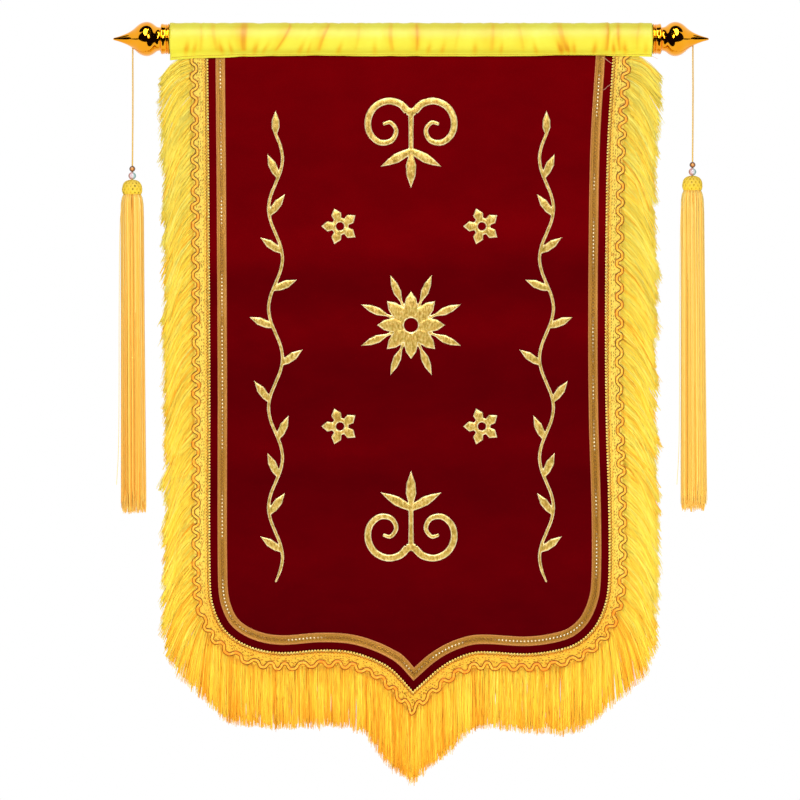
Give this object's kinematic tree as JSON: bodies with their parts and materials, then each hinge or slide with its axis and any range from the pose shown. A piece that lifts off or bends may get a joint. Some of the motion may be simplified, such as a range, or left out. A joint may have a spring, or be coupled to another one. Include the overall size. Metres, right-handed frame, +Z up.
{
  "type": "honor banner on a rod",
  "caption": "Hanging velvet honor banner on a rod, with a satin sleeve, gold tape, silky fringe round a pointed lower edge, raised gold ornaments, onion finials and side tassels.",
  "frame": {"origin": "the middle of the rod's axis, half way between the two finials", "axes": "+X along the rod to the viewer's right, +Y to the back, towards the wall, +Z up"},
  "size_m": [0.941, 0.0544, 1.201],
  "materials": {
    "rod_wood": "plain planed rod",
    "satin": "smooth yellow satin",
    "velvet": "deep crimson velvet",
    "braid": "flat woven metallic braid",
    "silk": "silky golden yellow yarn",
    "gold_plate": "mirror-bright gold plate",
    "string": "twisted golden string",
    "amber_bead": "polished amber",
    "clear_bead": "clear with a faint pearl sheen",
    "gold_relief": "puffed metallised gold cloth"
  },
  "bodies": {
    "root": {"rod": "rod_wood", "sleeve": "satin", "velvet_panel": "velvet", "gold_tape": "braid", "fringe": "silk", "finial_left": "gold_plate", "finial_right": "gold_plate", "cord_left": "string", "cord_right": "string", "bead_amber_left": "amber_bead", "bead_amber_right": "amber_bead", "bead_clear_left": "clear_bead", "bead_clear_right": "clear_bead", "tassel_left": "silk", "tassel_right": "silk", "cloud_upper": "gold_relief", "cloud_lower": "gold_relief", "flower": "gold_relief", "blossom_upper_left": "gold_relief", "blossom_upper_right": "gold_relief", "blossom_lower_left": "gold_relief", "blossom_lower_right": "gold_relief", "vine_left": "gold_relief", "vine_right": "gold_relief"}
  },
  "joints": []
}
